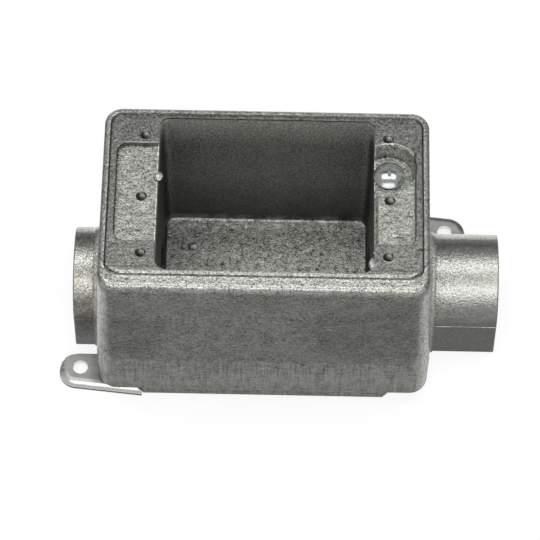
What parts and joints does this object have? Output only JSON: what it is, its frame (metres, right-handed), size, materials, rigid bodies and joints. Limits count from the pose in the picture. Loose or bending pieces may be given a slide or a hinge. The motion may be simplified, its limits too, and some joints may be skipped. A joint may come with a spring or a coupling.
{
  "type": "weatherproof box",
  "caption": "Cast-iron weatherproof electrical box with threaded conduit hubs on opposite ends, a ledge for the device and cover inside its rim, and steel mounting lugs.",
  "frame": {"origin": "middle of the raised pad on the back of the box", "axes": "+Z out of the open face, +X along the hubs towards the longer one, +Y across the box towards the side nearer the grounding screw"},
  "size_m": [0.1509, 0.0768, 0.0707],
  "materials": {
    "cast_iron": "sand-cast, rough, zinc-grey",
    "zinc_steel": "bright zinc plated",
    "lug_steel": "dull zinc plated, worn bright at the rolled edges"
  },
  "bodies": {
    "root": {"device_box": "cast_iron", "ground_screw": "zinc_steel", "front_left_lug": "lug_steel", "rear_right_lug": "lug_steel", "lug_screws": "zinc_steel"}
  },
  "joints": []
}
